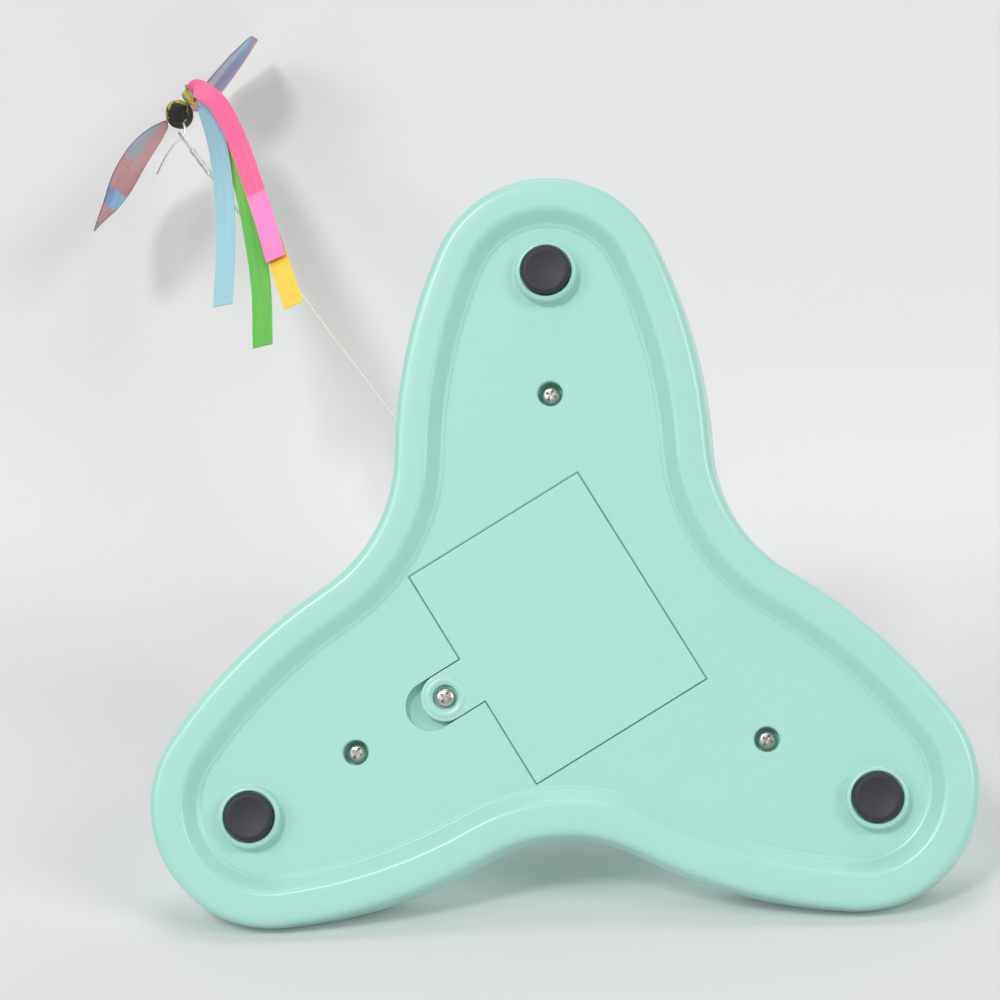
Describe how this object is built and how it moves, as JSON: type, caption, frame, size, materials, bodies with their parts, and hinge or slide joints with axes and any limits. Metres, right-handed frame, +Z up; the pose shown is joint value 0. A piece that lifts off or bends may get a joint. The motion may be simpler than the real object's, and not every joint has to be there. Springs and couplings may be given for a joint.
{
  "type": "rotating butterfly cat toy",
  "caption": "Battery cat toy: a lobed mint base with a geared dome turns a long spring wire that carries a butterfly with trailing ribbons.",
  "frame": {"origin": "on the spindle's axis, at the flat outer face of the base, which here is the battery cover's face", "axes": "+Z up along the spindle as the toy stands on its feet; +Y through the lobe that has no switch and no cover tab"},
  "size_m": [0.2489, 0.2819, 0.2762],
  "materials": {
    "mint_plastic": "satin gloss, moulded",
    "dark_rubber": "matt",
    "screw_steel": "bright zinc",
    "spring_wire_steel": "bright drawn",
    "motor_can_steel": "plain",
    "cell_jacket": "plain jacket, no print",
    "nickel_contact": "nickel plated",
    "natural_nylon": "matt",
    "gearbox_plastic": "matt",
    "board_laminate": "satin",
    "switch_plastic": "matt",
    "white_plastic": "satin",
    "red_lead": "satin",
    "black_lead": "satin",
    "butterfly_body_black": "matt foam",
    "wing_film": "printed film",
    "knot_cord": "woven",
    "ribbon_pink_satin": "satin weave",
    "ribbon_blue_satin": "satin weave",
    "ribbon_green_satin": "satin weave",
    "ribbon_yellow_satin": "satin weave"
  },
  "bodies": {
    "base": {"aa_cell_1": "cell_jacket", "aa_cell_2": "cell_jacket", "aa_cell_3": "cell_jacket", "base_tray": "mint_plastic", "board_screw_1": "screw_steel", "board_screw_2": "screw_steel", "bridge_plate_a": "nickel_contact", "bridge_plate_b": "nickel_contact", "case_screw_1": "screw_steel", "case_screw_2": "screw_steel", "case_screw_3": "screw_steel", "contact_spring_1": "nickel_contact", "contact_spring_2": "nickel_contact", "contact_spring_3": "nickel_contact", "gear_pin_1": "spring_wire_steel", "gear_pin_2": "spring_wire_steel", "gearbox_base": "gearbox_plastic", "gearbox_cover": "gearbox_plastic", "gearbox_screw_1": "screw_steel", "gearbox_screw_2": "screw_steel", "gearbox_screw_3": "screw_steel", "lead_black": "black_lead", "lead_red_battery": "red_lead", "lead_red_motor": "red_lead", "motor_can": "motor_can_steel", "rubber_foot_1": "dark_rubber", "rubber_foot_2": "dark_rubber", "rubber_foot_3": "dark_rubber", "switch_board": "board_laminate", "switch_body": "switch_plastic", "terminal_plate_negative": "nickel_contact", "terminal_plate_positive": "nickel_contact", "top_bush": "natural_nylon", "upper_shell": "mint_plastic"},
    "rotor": {"output_spindle": "spring_wire_steel", "output_gear": "natural_nylon", "rotor_cap": "mint_plastic", "rotor_cap_screw": "screw_steel", "spring_wire": "spring_wire_steel", "crimp_sleeve": "motor_can_steel"},
    "butterfly": {"butterfly_body": "butterfly_body_black", "butterfly_hook": "spring_wire_steel", "wing_left": "wing_film", "wing_right": "wing_film", "ribbon_knot": "knot_cord", "ribbon_pink": "ribbon_pink_satin", "ribbon_blue": "ribbon_blue_satin", "ribbon_green": "ribbon_green_satin", "ribbon_yellow": "ribbon_yellow_satin"},
    "compound_gear_1": {"compound_gear_1": "natural_nylon"},
    "compound_gear_2": {"compound_gear_2": "natural_nylon"},
    "motor_rotor": {"motor_shaft": "spring_wire_steel", "motor_pinion": "natural_nylon"},
    "switch_knob": {"switch_knob": "white_plastic"},
    "battery_cover": {"battery_cover": "mint_plastic", "battery_cover_screw": "screw_steel"}
  },
  "joints": [
    {"name": "rotor_spin", "type": "hinge", "parent": "base", "child": "rotor", "pos_m": [0, 0, 0], "axis": [0, 0, 1], "continuous": true},
    {"name": "compound_gear_2_spin", "type": "hinge", "parent": "base", "child": "compound_gear_2", "pos_m": [-0.01195, 0.0069, 0], "axis": [0, 0, 1], "continuous": true},
    {"name": "compound_gear_1_spin", "type": "hinge", "parent": "base", "child": "compound_gear_1", "pos_m": [-0.01195, -0.0069, 0], "axis": [0, 0, 1], "continuous": true},
    {"name": "motor_spin", "type": "hinge", "parent": "base", "child": "motor_rotor", "pos_m": [0, -0.0138, 0], "axis": [0, 0, 1], "continuous": true},
    {"name": "butterfly_swing", "type": "hinge", "parent": "rotor", "child": "butterfly", "pos_m": [0.12257, 0.17701, 0.2355], "axis": [-0.8221, 0.5693, 0], "range_deg": [-25, 3]},
    {"name": "switch_slide", "type": "slide", "parent": "base", "child": "switch_knob", "axis": [0.5, -0.866, 0], "range_m": [0, 0.003]},
    {"name": "battery_cover_hinge", "type": "hinge", "parent": "base", "child": "battery_cover", "pos_m": [-0.02039, 0.01178, 0], "axis": [0.5, 0.866, 0], "range_deg": [0, 30]}
  ],
  "couplings": [
    {"joint": "compound_gear_2_spin", "follows": "rotor_spin", "ratio": -3.6},
    {"joint": "compound_gear_1_spin", "follows": "rotor_spin", "ratio": 12.96},
    {"joint": "motor_spin", "follows": "rotor_spin", "ratio": -46.656}
  ]
}
